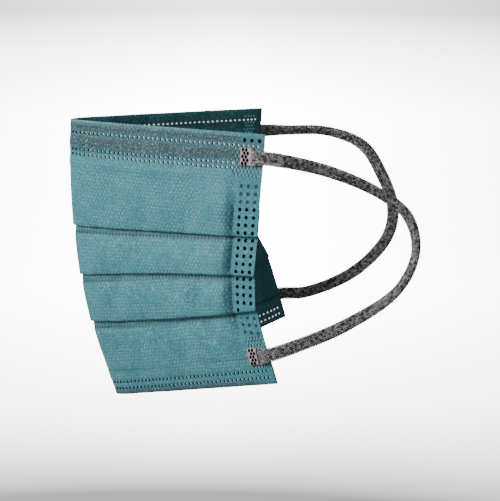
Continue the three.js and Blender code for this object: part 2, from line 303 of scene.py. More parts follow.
class Sections:
    """Upright sections through the cloth, at shares of the way out from the centre fold."""

    def __init__(self, side, shares):
        self.side = side
        self.shares = np.atleast_1d(np.asarray(shares, float))
        found = [edge.at(self.shares) for edge in half_edges[side]]
        self.edges = np.array([points for points, outward in found])
        self.outward = np.array([outward for points, outward in found])
        self.heights = np.linalg.norm(np.diff(self.edges, axis=0), axis=2)
        start = np.zeros((1, len(self.shares)))
        self.drops = np.vstack([start, np.cumsum(self.heights, axis=0)])
        self.tucks = [
            lerp(tuck["fold"] * FOLD_HEIGHT, tuck["side"] * SIDE_HEIGHT, self.shares)
            for tuck in TUCKS
        ]
        self.along = self.shares * HALF_WIDTH
        self.inset_from_side = HALF_WIDTH - self.along
        self.station = np.arange(len(self.shares))

    def place(self, drop):
        """Which stretch of cloth a drop below the top edge lies in, and how far down it."""
        k = (drop >= self.drops[1:-1]).sum(axis=0)
        down = (drop - self.drops[k, self.station]) / self.heights[k, self.station]
        return k, down

    def below_pleat(self, drop):
        """Which stretch of cloth a drop lies in, and how far below its upper edge."""
        k, down = self.place(drop)
        return k, down * self.heights[k, self.station]

    def press_gap(self):
        return lerp(PRESS_GAP["fold"], PRESS_GAP["side"], self.shares)

    def gape(self, k):
        at_fold = np.array([edge["gapeFold"] for edge in EDGES])[k]
        on_cheek = np.array([edge["gapeCheek"] for edge in EDGES])[k]
        opened = lerp(at_fold, on_cheek, smooth(0, 0.25, self.shares))
        return opened * (1 - smooth(0.7, 0.86, self.shares))

    def inset(self, drop):
        """Below a pleat the cloth starts two layers in and comes back out to the next edge."""
        k, down = self.place(drop)
        below = down * self.heights[k, self.station]
        left = np.exp(-below / lerp(INSET_RUN["fold"], INSET_RUN["side"], self.shares)) * (1 - down)
        return np.where(k == 0, 0, (2 * PITCH + self.gape(k)) * left)

    def pocket(self, drop):
        """How much further the nose wire holds the two layers of the top hem apart."""
        half = WIRE_WIDTH / 2
        off = np.abs(drop - WIRE_DEPTH)
        return WIRE_SPREAD * (1 - smooth(half, half + POCKET_RUN, off)) * self.wire_fade()

    def outer_depth(self, drop):
        """The depth of the outer layer's face below the plain form."""
        return self.inset(drop) - self.pocket(drop) * POCKET_OUTWARDS

    def hem_depth(self, drop):
        """The depth of the hem layer's outer face below the plain form."""
        return self.inset(drop) + PITCH + self.pocket(drop) * (1 - POCKET_OUTWARDS)

    def wire_fade(self):
        return 1 - smooth(WIRE_SHARE, WIRE_SHARE + 0.06, self.shares)

    def relief(self, drop):
        """How far the cloth stands out of its plain form. Folded layers all move together."""
        k, down = self.place(drop)
        puffs = np.array([edge["puff"] for edge in EDGES])[k + 1]
        inside = np.clip(self.shares / MARGIN_SHARE, 0, 1)
        swell = np.sin(np.pi * np.clip(down, 0, 1))
        height = puffs * PUFF * np.sin(np.pi * inside) * swell
        height += np.where(k == 0, FOLD_BOW * swell * (1 - smooth(0, 0.2, self.shares)), 0)
        rise = self.drops[-1] - drop
        inwards = self.inset_from_side - SIDE_MARGIN
        pillow = PILLOW["height"] * smooth(PILLOW["start"], PILLOW["full"], inwards)
        pillow *= hump(inwards - PILLOW["middle"], PILLOW["width"]) * (0.5 + 0.5 * swell)
        off_crease = inwards - PILLOW_CREASE["middle"]
        pillow -= PILLOW_CREASE["depth"] * hump(off_crease, PILLOW_CREASE["width"])
        height += pillow * smooth(*PILLOW_RUN["top"], drop) * smooth(*PILLOW_RUN["bottom"], rise)
        # The crease pressed into the cloth just below each pleat.
        k, below = self.below_pleat(drop)
        height -= np.where(k > 0, PRESS_DEPTH * hump(below - self.press_gap(), PRESS_WIDTH), 0)
        for off_row in [drop - row for row in TOP_DOT_ROWS] + [rise - row for row in BOTTOM_DOT_ROWS]:
            height -= ROW_GROOVE["depth"] * hump(off_row, ROW_GROOVE["width"])
        # The raw edges of the hems print through, as a ridge at the top and a groove at the bottom.
        for off_edge, ridge in ((drop - TOP_HEM, 1), (rise - BOTTOM_HEM, -1)):
            step = 1 - smooth(-HEM_PRINT["run"], HEM_PRINT["run"], off_edge)
            height += HEM_PRINT["height"] * (step + ridge * hump(off_edge, HEM_PRINT["ridge"]))
        loose = 1 - smooth(MARGIN_SHARE - LOOSE_RUN, MARGIN_SHARE, self.shares)
        for dent in DENTS:
            if dent["side"] == self.side:
                turn = math.radians(dent["turn"])
                across = self.along - dent["along"]
                below = drop - dent["drop"]
                length = across * math.cos(turn) + below * math.sin(turn)
                width = below * math.cos(turn) - across * math.sin(turn)
                depth = dent["deep"] * hump(length, dent["long"]) * hump(width, dent["wide"])
                height -= depth * loose
        from_fold = smooth(0, STIFF_FOLD, self.along)
        for wave in WAVES:
            turns = self.side * self.along / wave["along"] + drop / wave["down"] + wave["phase"]
            height += wave["height"] * np.sin(2 * np.pi * turns) * loose * from_fold
        return height

    def point(self, drop, depth):
        """Points at a drop below the top edge and a depth below the outer face."""
        k, down = self.place(drop)
        share = down[:, None]
        high, low = self.outward[k, self.station], self.outward[k + 1, self.station]
        outward = high + (low - high) * share
        outward /= np.linalg.norm(outward, axis=1, keepdims=True)
        high, low = self.edges[k, self.station], self.edges[k + 1, self.station]
        base = high + (low - high) * share
        trimmed = SIDE_TRIM[self.side] * smooth(0.9, 1, self.shares) * depth
        back, out, level = self.side * outward[:, 1], -self.side * outward[:, 0], outward[:, 2]
        along = np.stack([back, out, level], axis=1)
        return base + outward * (self.relief(drop) - depth)[:, None] - along * trimmed[:, None]

    def face(self, drop, clear=0):
        """Points over the outer face of the cloth that shows."""
        return self.point(drop, self.outer_depth(drop) - clear)

    def every(self, value):
        return np.full(len(self.shares), float(value))


def spaced(start, end, step):
    """Even shares between two drops, about a step apart over the longest section."""
    count = max(2, int(np.ceil(np.max(np.abs(end - start)) / step)) + 1)
    return [lerp(start, end, share) for share in np.linspace(0, 1, count)]


def turn(drop, depth, downwards):
    """A half turn of the cloth from one layer to the next one in, round a point at that drop."""
    points = []
    for angle in np.linspace(0, np.pi, TURN_STEPS + 1):
        along = (1 if downwards else -1) * (PITCH / 2) * math.sin(angle)
        points.append((drop + along, depth + (PITCH / 2) * (1 - math.cos(angle))))
    return points


def cloth_path(sections):
    """The middle of the cloth from the raw edge of the top hem to that of the bottom hem."""
    drops, tucks = sections.drops, sections.tucks
    mid = CLOTH / 2
    turn_inset = CLOTH / 2 + PITCH / 2
    top_turn = sections.every(turn_inset)
    path = []
    for drop in spaced(sections.every(TOP_HEM), top_turn, CLOTH_STEP)[:-1]:
        path.append((drop, mid + sections.hem_depth(drop)))
    path += turn(top_turn, sections.every(mid), False)[::-1]
    start = top_turn
    for k, tuck in enumerate(tucks):
        edge = drops[k + 1]
        low_turn = edge - turn_inset
        high_turn = edge - tuck + turn_inset
        for drop in spaced(start, low_turn, CLOTH_STEP)[1:-1]:
            path.append((drop, mid + sections.outer_depth(drop)))
        path += turn(low_turn, mid + sections.inset(low_turn), True)
        for drop in spaced(low_turn, high_turn, HIDDEN_STEP)[1:-1]:
            path.append((drop, mid + PITCH + sections.inset(drop)))
        path += turn(high_turn, mid + PITCH + sections.inset(high_turn), False)
        opening = sections.gape(k + 1)
        for drop in spaced(high_turn, edge, HIDDEN_STEP)[1:-1]:
            opened = opening * (drop - high_turn) / (edge - high_turn)
            path.append((drop, mid + 2 * PITCH + sections.inset(drop) + opened))
        path.append((edge, mid + sections.inset(edge)))
        start = edge
    bottom_turn = drops[-1] - turn_inset
    for drop in spaced(start, bottom_turn, CLOTH_STEP)[1:-1]:
        path.append((drop, mid + sections.inset(drop)))
    path += turn(bottom_turn, mid + sections.inset(bottom_turn), True)
    for drop in spaced(bottom_turn, drops[-1] - BOTTOM_HEM, CLOTH_STEP)[1:]:
        path.append((drop, mid + PITCH + sections.inset(drop)))
    return np.array(path)


def thicken(path):
    """The two faces of the cloth along its middle, as drops and depths."""
    steps = np.diff(path, axis=0)
    steps /= np.linalg.norm(steps, axis=1, keepdims=True)
    into = np.concatenate([steps[:1], steps])
    out_of = np.concatenate([steps, steps[-1:]])
    along = into + out_of
    along /= np.linalg.norm(along, axis=1, keepdims=True)
    across = np.stack([-along[:, 1], along[:, 0]], axis=1)
    reach = CLOTH / 2 / (along * into).sum(axis=1)[:, None]
    return path + across * reach, path - across * reach


def mesh_object(name, points, faces, materials=(), face_materials=None):
    mesh = bpy.data.meshes.new(name)
    mesh.from_pydata([tuple(p) for p in np.asarray(points) * MM], [], faces)
    for material in materials:
        mesh.materials.append(material)
    if face_materials is not None:
        mesh.polygons.foreach_set("material_index", np.asarray(face_materials, np.int32))
    mesh.shade_smooth()
    mesh.update()
    piece = bpy.data.objects.new(name, mesh)
    bpy.context.scene.collection.objects.link(piece)
    return piece


def store(mesh, name, values):
    """Keeps a value at each point of a mesh, for its materials and Geometry Nodes to read."""
    values = np.asarray(values, np.float32)
    kind = "FLOAT_VECTOR" if values.ndim == 2 else "FLOAT"
    attribute = mesh.attributes.new(name, kind, "POINT")
    attribute.data.foreach_set("vector" if values.ndim == 2 else "value", values.ravel())


def ring_faces(rings, count):
    """Quads round and between rings of points, with the two ends filled by strips."""
    faces = []
    for r in range(rings - 1):
        for i in range(count):
            a, b = r * count + i, r * count + (i + 1) % count
            faces.append((a, b, b + count, a + count))
    last = (rings - 1) * count
    for i in range(count // 2 - 1):
        a, b, c, d = i, i + 1, count - 2 - i, count - 1 - i
        faces.append((d, c, b, a))
        faces.append((last + a, last + b, last + c, last + d))
    return faces


# Geometry Nodes


class Tree:
    """A few short calls for building a node tree."""

    def __init__(self, tree):
        self.tree = tree

    def add(self, kind, inputs=(), **settings):
        node = self.tree.nodes.new(kind)
        for name, value in settings.items():
            setattr(node, name, value)
        for key, value in dict(inputs).items():
            if isinstance(value, bpy.types.NodeSocket):
                self.tree.links.new(value, node.inputs[key])
            else:
                node.inputs[key].default_value = value
        return node

    def math(self, operation, a, b=0.0, c=0.0):
        return self.add("ShaderNodeMath", {0: a, 1: b, 2: c}, operation=operation).outputs[0]

    def vector(self, operation, a, b=(0, 0, 0)):
        node = self.add("ShaderNodeVectorMath", {0: a, 1: b}, operation=operation)
        return node.outputs["Value" if operation == "LENGTH" else "Vector"]

    def ramp(self, value, low, high, start=0.0, end=1.0):
        """Value taken from the range low to high to the range start to end, and held there."""
        inputs = {"Value": value, "From Min": low, "From Max": high, "To Min": start, "To Max": end}
        return self.add("ShaderNodeMapRange", inputs).outputs["Result"]

    def mix(self, share, a, b):
        node = self.add("ShaderNodeMix", data_type="RGBA")
        for index, value in ((0, share), (6, a), (7, b)):
            if isinstance(value, bpy.types.NodeSocket):
                self.tree.links.new(value, node.inputs[index])
            else:
                node.inputs[index].default_value = value
        return node.outputs[2]

    def noise(self, vector, scale, detail=2.0, roughness=0.5):
        inputs = {"Vector": vector, "Scale": scale, "Detail": detail, "Roughness": roughness}
        return self.add("ShaderNodeTexNoise", inputs).outputs["Fac"]


def geometry_tree(name, sockets):
    """An empty Geometry Nodes tree with a geometry in and out, and the named inputs."""
    tree = bpy.data.node_groups.new(name, "GeometryNodeTree")
    face = tree.interface
    face.new_socket("Geometry", in_out="OUTPUT", socket_type="NodeSocketGeometry")
    face.new_socket("Geometry", in_out="INPUT", socket_type="NodeSocketGeometry")
    for label, kind in sockets:
        face.new_socket(label, in_out="INPUT", socket_type=kind)
    build = Tree(tree)
    return build, build.add("NodeGroupInput").outputs, build.add("NodeGroupOutput").inputs


def apply_tree(piece, tree, values):
    """Runs a tree on a piece with its inputs set by name, and keeps the plain mesh."""
    modifier = piece.modifiers.new(tree.name, "NODES")
    modifier.node_group = tree
    for item in tree.interface.items_tree:
        if item.in_out == "INPUT" and item.name in values:
            modifier[item.identifier] = values[item.name]
    graph = bpy.context.evaluated_depsgraph_get()
    mesh = bpy.data.meshes.new_from_object(piece.evaluated_get(graph))
    mesh.name = piece.data.name
    piece.modifiers.remove(modifier)
    piece.data = mesh
    return piece


def spread_out(build, points, shape):
    """Copies of a shape on points, by the turn and size kept at each of them."""
    turned = build.add("GeometryNodeInputNamedAttribute", {"Name": "turn"}, data_type="FLOAT_VECTOR")
    sized = build.add("GeometryNodeInputNamedAttribute", {"Name": "size"}, data_type="FLOAT_VECTOR")
    rotation = build.add("FunctionNodeEulerToRotation", {0: turned.outputs[0]})
    inputs = {"Points": points, "Instance": shape, "Rotation": rotation.outputs[0]}
    inputs["Scale"] = sized.outputs[0]
    return build.add("GeometryNodeInstanceOnPoints", inputs).outputs[0]


def punch_tree():
    """Cuts a dot into the cloth at every mark. Its wall and its floor have their own finish."""
    sockets = [
        ("Marks", "NodeSocketObject"),
        ("Dot Cutter", "NodeSocketObject"),
        ("Wall Finish", "NodeSocketMaterial"),
        ("Floor Finish", "NodeSocketMaterial"),
    ]
    build, given, result = geometry_tree("punch_weld_dots", sockets)
    marks = build.add("GeometryNodeObjectInfo", {"Object": given["Marks"]})
    cutter = build.add("GeometryNodeObjectInfo", {"Object": given["Dot Cutter"]})
    copies = spread_out(build, marks.outputs["Geometry"], cutter.outputs["Geometry"])
    solid = build.add("GeometryNodeRealizeInstances", {"Geometry": copies}).outputs[0]
    walls = build.add("GeometryNodeSetMaterial", {"Geometry": solid, "Material": given["Wall Finish"]})
    is_floor = build.add("GeometryNodeInputNamedAttribute", {"Name": "floor"}, data_type="BOOLEAN")
    inputs = {"Geometry": walls.outputs[0], "Selection": is_floor.outputs[0]}
    inputs["Material"] = given["Floor Finish"]
    cutters = build.add("GeometryNodeSetMaterial", inputs).outputs[0]
    cut = build.add("GeometryNodeMeshBoolean", operation="DIFFERENCE", solver="MANIFOLD")
    build.tree.links.new(given["Geometry"], cut.inputs["Mesh 1"])
    build.tree.links.new(cutters, cut.inputs["Mesh 2"])
    build.tree.links.new(cut.outputs[0], result[0])
    return build.tree


WOVEN_VALUES = table(
    ["name", "kind"],
    [
        ["weave", "FLOAT_VECTOR"],
        ["pressed", "FLOAT"],
        ["hemmed", "FLOAT"],
        ["creased", "FLOAT"],
    ],
)


def reweave_tree():
    """Gives the rims of the cut dots the values of the whole cloth that they were cut from."""
    build, given, result = geometry_tree("reweave", [("Whole Cloth", "NodeSocketObject")])
    whole = build.add("GeometryNodeObjectInfo", {"Object": given["Whole Cloth"]}).outputs["Geometry"]
    cut = given["Geometry"]
    for row in WOVEN_VALUES:
        kind = row["kind"]
        value = build.add("GeometryNodeInputNamedAttribute", {"Name": row["name"]}, data_type=kind)
        nearest = build.add("GeometryNodeSampleNearestSurface", {"Mesh": whole}, data_type=kind)
        build.tree.links.new(value.outputs[0], nearest.inputs["Value"])
        inputs = {"Geometry": cut, "Name": row["name"]}
        kept = build.add("GeometryNodeStoreNamedAttribute", inputs, data_type=kind)
        build.tree.links.new(nearest.outputs[0], kept.inputs["Value"])
        cut = kept.outputs[0]
    build.tree.links.new(cut, result[0])
    return build.tree


def stitch_tree():
    """A knitted stitch at every mark, each with a tone of its own."""
    sockets = [
        ("Stitch", "NodeSocketObject"),
        ("Yarn", "NodeSocketMaterial"),
        ("Tone Seed", "NodeSocketInt"),
    ]
    build, given, result = geometry_tree("knit_stitches", sockets)
    stitch = build.add("GeometryNodeObjectInfo", {"Object": given["Stitch"]})
    copies = spread_out(build, given["Geometry"], stitch.outputs["Geometry"])
    tone = build.add("FunctionNodeRandomValue", data_type="FLOAT")
    build.tree.links.new(given["Tone Seed"], tone.inputs["Seed"])
    inputs = {"Geometry": copies, "Name": "tone", "Value": tone.outputs[1]}
    named = build.add("GeometryNodeStoreNamedAttribute", inputs, data_type="FLOAT", domain="INSTANCE")
    solid = build.add("GeometryNodeRealizeInstances", {"Geometry": named.outputs[0]})
    inputs = {"Geometry": solid.outputs[0], "Material": given["Yarn"]}
    yarn = build.add("GeometryNodeSetMaterial", inputs)
    build.tree.links.new(yarn.outputs[0], result[0])
    return build.tree


def turns_of(across, up, outward):
    """Euler turns that take X, Y and Z to three square directions."""
    turns = []
    for columns in zip(across, up, outward):
        turns.append(tuple(Matrix(columns).transposed().to_euler()))
    return turns


def marks_object(name, points, outward, sizes):
    """Points that carry a turn and a size for what is set out on them."""
    marks = mesh_object(name, points, [])
    outward = np.asarray(outward)
    up = np.tile([0.0, 0.0, 1.0], (len(outward), 1))
    across = np.cross(up, outward)
    across /= np.linalg.norm(across, axis=1, keepdims=True)
    up = np.cross(outward, across)
    store(marks.data, "turn", turns_of(across, up, outward))
    store(marks.data, "size", np.asarray(sizes) * MM)
    return marks


# Materials


def new_material(name, roughness, sheen=0.0):
    material = bpy.data.materials.new(name)
    material.use_nodes = True
    material.node_tree.nodes.clear()
    build = Tree(material.node_tree)
    shader = build.add("ShaderNodeBsdfPrincipled", {"Roughness": roughness})
    shader.inputs["Sheen Weight"].default_value = sheen
    shader.inputs["Sheen Roughness"].default_value = 0.5
    output = build.add("ShaderNodeOutputMaterial")
    build.tree.links.new(shader.outputs[0], output.inputs["Surface"])
    return material, build, shader


def bump(build, shader, height, distance):
    inputs = {"Height": height, "Distance": distance * MM, "Strength": 1.0}
    node = build.add("ShaderNodeBump", inputs)
    build.tree.links.new(node.outputs[0], shader.inputs["Normal"])


BOND_PITCH = (1.6, 2.65)  # of the thermal bond points of the spun cloth


def bond_points(build, weave):
    """1 in the bond points of the spun cloth, which are set out in staggered rows."""
    scaled = build.vector("DIVIDE", weave, (BOND_PITCH[0], BOND_PITCH[1], 1))
    found = None
    for offset in ((0, 0, 0), (0.5, 0.5, 0)):
        cell = build.vector("FRACTION", build.vector("ADD", scaled, offset))
        off = build.vector("SUBTRACT", cell, (0.5, 0.5, 0))
        away = build.vector("LENGTH", build.vector("MULTIPLY", off, (*BOND_PITCH, 0)))
        point = build.ramp(away, 0.5, 0.15)
        found = point if found is None else build.math("MAXIMUM", found, point)
    return found


def spun_cloth(name, dark, light, bond, pressed_tone, crease_and_painted_shade_tone, hem_dark, hem_light):
    """Spun-bonded cloth: fibres, staggered bond points, and a fuller colour where it is pressed."""
    material, build, shader = new_material(name, 0.62, 0.25)
    weave = build.add("ShaderNodeAttribute", attribute_name="weave").outputs["Vector"]
    pressed = build.add("ShaderNodeAttribute", attribute_name="pressed").outputs["Fac"]
    hemmed = build.add("ShaderNodeAttribute", attribute_name="hemmed").outputs["Fac"]
    creased = build.add("ShaderNodeAttribute", attribute_name="creased").outputs["Fac"]
    fibres = build.noise(weave, 1.9, 3.0, 0.65)
    streaks = build.noise(build.vector("MULTIPLY", weave, (0.5, 2.4, 1)), 1.1, 2.0)
    flecks = build.noise(weave, 0.8, 2.0, 0.7)
    cloudy = build.noise(weave, 0.09, 2.0)
    tone = build.math("ADD", build.ramp(fibres, 0.3, 0.7, 0, 0.4), build.ramp(streaks, 0.3, 0.7, 0, 0.2))
    tone = build.math("ADD", tone, build.ramp(flecks, 0.34, 0.66, 0, 0.4))
    colour = build.mix(tone, dark, light)
    colour = build.mix(build.ramp(cloudy, 0.35, 0.65, 0, 0.3), colour, dark)
    # The hems have a greyed, speckled look, and what is pressed a fuller colour.
    speckle = build.ramp(build.noise(weave, 1.0, 2.0, 0.8), 0.4, 0.6)
    greyed = build.mix(speckle, hem_dark, hem_light)
    colour = build.mix(build.math("MULTIPLY", hemmed, 0.85), colour, greyed)
    colour = build.mix(build.math("MULTIPLY", pressed, 0.65), colour, pressed_tone)
    # Bond points show less where the cloth is worn, hemmed or pressed.
    points = bond_points(build, weave)
    worn = build.ramp(build.noise(weave, 0.16, 2.0), 0.38, 0.62, 0.08, 0.6)
    plain = build.math("MULTIPLY", build.ramp(pressed, 0, 1, 1.0, 0.2), build.ramp(hemmed, 0, 1, 1.0, 0.3))
    shown = build.math("MULTIPLY", build.math("MULTIPLY", points, worn), plain)
    colour = build.mix(shown, colour, bond)
    bright = build.noise(build.vector("ADD", weave, (40, 0, 0)), 1.25, 1.0)
    colour = build.mix(build.ramp(bright, 0.56, 0.7, 0, 0.45), colour, bond)
    # A pressed crease shows as a row of dark strokes, one to each bond point along it.
    # The crease tone also paints shade below each pleat, beside the side margin and at the bottom hem's
    # edge.
    along = build.add("ShaderNodeSeparateXYZ", {0: weave}).outputs["X"]
    beat = build.math("FRACT", build.math("DIVIDE", along, BOND_PITCH[0]))
    stroke = build.ramp(build.math("ABSOLUTE", build.math("SUBTRACT", beat, 0.5)), 0.12, 0.4, 1.0, 0.45)
    colour = build.mix(build.math("MULTIPLY", creased, stroke), colour, crease_and_painted_shade_tone)
    build.tree.links.new(colour, shader.inputs["Base Color"])
    height = build.math("MULTIPLY_ADD", points, -0.3, fibres)
    bump(build, shader, height, 0.2)
    return material


def colour_of(red, green, blue):
    """A colour as an eye sees it, 0 to 255, in linear light."""
    parts = []
    for value in (red, green, blue):
        value /= 255
        parts.append(value / 12.92 if value <= 0.04045 else ((value + 0.055) / 1.055) ** 2.4)
    return (*parts, 1.0)


def plain_finish(name, colour, roughness, glow=0.0, shine=0.5):
    """A finish with a little unevenness of tone and surface, on object coordinates."""
    material, build, shader = new_material(name, roughness)
    shader.inputs["Specular IOR Level"].default_value = shine
    shader.inputs["Emission Color"].default_value = colour
    shader.inputs["Emission Strength"].default_value = glow
    place = build.add("ShaderNodeTexCoord").outputs["Object"]
    uneven = build.noise(place, 900.0, 2.0)
    darker = tuple(0.7 * part for part in colour[:3]) + (1.0,)
    build.tree.links.new(build.mix(uneven, darker, colour), shader.inputs["Base Color"])
    bump(build, shader, uneven, 0.05)
    return material


def yarn_finish():
    """Melange yarn: each stitch has a tone between dark grey and pinkish light grey."""
    material, build, shader = new_material("melange_yarn", 0.85, 0.4)
    tone = build.add("ShaderNodeAttribute", attribute_name="tone").outputs["Fac"]
    place = build.add("ShaderNodeTexCoord").outputs["Object"]
    fine = build.noise(place, 2600.0, 3.0)
    pale = build.add("ShaderNodeAttribute", attribute_name="pale").outputs["Fac"]
    specks = build.ramp(build.noise(place, 1000.0, 1.0), 0.42, 0.58, -0.1, 0.42)
    mixed = build.math("ADD", build.ramp(tone, 0.25, 0.75, 0, 0.35), specks)
    mixed = build.math("MULTIPLY_ADD", pale, 0.14, mixed)
    colour = build.mix(mixed, colour_of(20, 19, 22), colour_of(208, 203, 207))
    build.tree.links.new(colour, shader.inputs["Base Color"])
    bump(build, shader, fine, 0.08)
    return material


outside = spun_cloth(
    "spun_cloth_outside",
    dark=colour_of(0, 94, 109),
    light=colour_of(78, 168, 179),
    bond=colour_of(152, 195, 199),
    pressed_tone=colour_of(22, 120, 134),
    crease_and_painted_shade_tone=colour_of(0, 40, 50),
    hem_dark=colour_of(0, 18, 24),
    hem_light=colour_of(44, 66, 70),
)
inside = spun_cloth(
    "spun_cloth_inside",
    dark=colour_of(20, 106, 116),
    light=colour_of(84, 160, 170),
    bond=colour_of(124, 188, 194),
    pressed_tone=colour_of(26, 112, 124),
    crease_and_painted_shade_tone=colour_of(10, 74, 84),
    hem_dark=colour_of(20, 100, 110),
    hem_light=colour_of(86, 152, 160),
)
cut_edge = plain_finish("cut_edge", colour_of(104, 102, 104), 0.8)
# Near-black walls and floors for dots and cells: painted shade, standing in for the dark inside of a deep
# pit.
painted_shade_wall = plain_finish("fused_dot_wall", colour_of(6, 9, 10), 0.6, shine=0.1)
# The fused film glows: painted light standing in for light that comes through it from behind.
painted_backlight_film = plain_finish("fused_film", colour_of(250, 248, 246), 0.5, 0.9)
# The shallow side dots are dark teal: painted shade in the pits.
faint_dot = plain_finish("faint_dot", colour_of(34, 72, 80), 0.6)
horn_dot = plain_finish("horn_dot", colour_of(170, 214, 216), 0.6)
# The horn's marks on the inner face glow: painted light standing in for light that comes through from
# behind.
painted_backlight_horn_behind = plain_finish("horn_dot_behind", colour_of(120, 190, 194), 0.6, 0.25)
wire_finish = plain_finish("wire_plastic", colour_of(226, 226, 222), 0.4)
yarn = yarn_finish()
band_core = plain_finish("band_core", colour_of(34, 33, 36), 0.9)
pressed_band = plain_finish("pressed_band", colour_of(192, 174, 176), 0.7)


# The cloth

# How far each tone of the cloth reaches, in millimetres from what it belongs to
PRESSED_REACH = {"margin": 1, "top_row": 1.1, "bottom_row": 1.3, "hem_edge": 0.5}
HEMMED_REACH = {"top": (0.2, 1), "top_end": (8, 4), "bottom": (1.5, 2.5), "fold": (0.4, 1.6)}
# The crease tone is partly a real pressed crease and partly painted shade below each pleat and at the
# hem's edge.
CREASE_AND_PAINTED_SHADE_REACH = {"press": 0.6, "pleat": (1, 3.4), "hem_edge": 0.45}
# Painted shade in the recess beside the side margin.
RECESS_PAINTED_SHADE = {"middle": 1.9, "width": 2.2, "top": (22, 36), "bottom": (18, 30)}  # beside the margin


def stations():
    """Shares of the way out from the fold, closer together round the crease."""
    even = np.linspace(0, 1, HALF_STATIONS + 1)
    return FOLD_CROWDING * even + (1 - FOLD_CROWDING) * even**2


def both_halves(limit=1.0):
    """Sections from the right side edge round the fold to the left one."""
    shares = stations() * limit
    return [Sections(RIGHT, shares[:0:-1]), Sections(LEFT, shares)]


def swept(outlines_of):
    """Points, outward directions and the like along every section, joined across the fold."""
    parts = [outlines_of(sections) for sections in both_halves()]
    return [np.concatenate([part[i] for part in parts], axis=1) for i in range(len(parts[0]))]


def tones(sections, drop):
    """How far the cloth is pressed, hemmed, and creased or darkened by painted shade at a drop, 0 to 1."""
    rise = sections.drops[-1] - drop
    inwards = sections.inset_from_side - SIDE_MARGIN
    pressed = 1 - smooth(-PRESSED_REACH["margin"], PRESSED_REACH["margin"], inwards)
    for row in TOP_DOT_ROWS:
        pressed = np.maximum(pressed, hump(drop - row, PRESSED_REACH["top_row"]))
    for row in BOTTOM_DOT_ROWS:
        pressed = np.maximum(pressed, hump(rise - row, PRESSED_REACH["bottom_row"]))
    end, start = HEMMED_REACH["top_end"]
    top_hem = smooth(*HEMMED_REACH["top"], drop) * (1 - smooth(TOP_HEM - end, TOP_HEM - start, drop))
    bottom_hem = 1 - smooth(*HEMMED_REACH["bottom"], rise)
    hemmed = np.maximum(top_hem, bottom_hem) * smooth(*HEMMED_REACH["fold"], sections.along)
    k, below = sections.below_pleat(drop)
    creased = hump(below - sections.press_gap(), CREASE_AND_PAINTED_SHADE_REACH["press"])
    # Painted shade: the cloth just below each pleat is darkened where the flap's shadow falls.
    creased += 0.35 * (1 - smooth(*CREASE_AND_PAINTED_SHADE_REACH["pleat"], below))
    creased = np.where(k > 0, np.clip(creased, 0, 1), 0) * (1 - 0.5 * pressed)
    # Painted shade in the groove along the bottom hem's raw edge.
    creased = np.maximum(creased, 0.5 * hump(rise - BOTTOM_HEM, CREASE_AND_PAINTED_SHADE_REACH["hem_edge"]))
    # Painted shade in the recess beside the side margin.
    recess_painted_shade = hump(inwards - RECESS_PAINTED_SHADE["middle"], RECESS_PAINTED_SHADE["width"])
    recess_painted_shade *= smooth(*RECESS_PAINTED_SHADE["top"], drop) * smooth(*RECESS_PAINTED_SHADE["bottom"], rise)
    creased = np.maximum(creased, 0.6 * recess_painted_shade)
    pressed = np.maximum(pressed, 0.8 * hump(drop - TOP_HEM, PRESSED_REACH["hem_edge"]))
    return pressed, hemmed, creased


def cloth_rings(sections):
    """The outline of every section, with what each of its points keeps for the finishes."""
    path = cloth_path(sections)
    one, other = thicken(path)
    outline = np.concatenate([other, one[::-1]])
    steps = np.linalg.norm(np.diff(path, axis=0), axis=1)
    lengths = np.concatenate([[np.zeros(path.shape[2])], np.cumsum(steps, axis=0)])
    lengths = np.concatenate([lengths, lengths[::-1]])
    rings = []
    for (drop, depth), length in zip(outline, lengths):
        weave = np.stack([sections.side * sections.along, length, depth], axis=1)
        rings.append((sections.point(drop, depth), weave, *tones(sections, drop)))
    return [np.array(values) for values in zip(*rings)]


def make_cloth(name):
    points, *woven = swept(cloth_rings)
    count, rings = points.shape[:2]
    by_ring = [np.swapaxes(values, 0, 1).reshape(-1, *values.shape[2:]) for values in (points, *woven)]
    faces = ring_faces(rings, count)
    corners = by_ring[0][np.array(faces)]
    normals = np.cross(corners[:, 2] - corners[:, 0], corners[:, 3] - corners[:, 1])
    middles = corners.mean(axis=1)
    # Outwards is forwards at the fold, and more and more sideways along the cheeks.
    outward = middles * [0, 1, 0] * 1.8 - [40, 0, 0]
    finish = np.where((normals * outward).sum(axis=1) > 0, 0, 1)
    finish[(rings - 1) * count :] = 2
    cloth = mesh_object(name, by_ring[0], faces, [outside, inside, cut_edge], finish)
    for row, values in zip(WOVEN_VALUES, by_ring[1:]):
        store(cloth.data, row["name"], values)
    return cloth


def join_arrays(parts):
    return [np.concatenate(values) for values in zip(*parts)]


def dot_positions(first, last, pitch):
    return np.arange(first, last, pitch)


def sections_along(side, along):
    return Sections(side, np.asarray(along) / HALF_WIDTH)


def dot_marks(name, placed, sizes):
    """Marks for cutters: each placed set has points and the direction that a cutter opens in."""
    points, outward = join_arrays(placed)
    return marks_object(name, points, outward, np.tile(sizes, (len(points), 1)))


def outward_at(sections, drop):
    k, down = sections.place(drop)
    high, low = sections.outward[k, sections.station], sections.outward[k + 1, sections.station]
    outward = lerp(high, low, down[:, None])
    return outward / np.linalg.norm(outward, axis=1, keepdims=True)


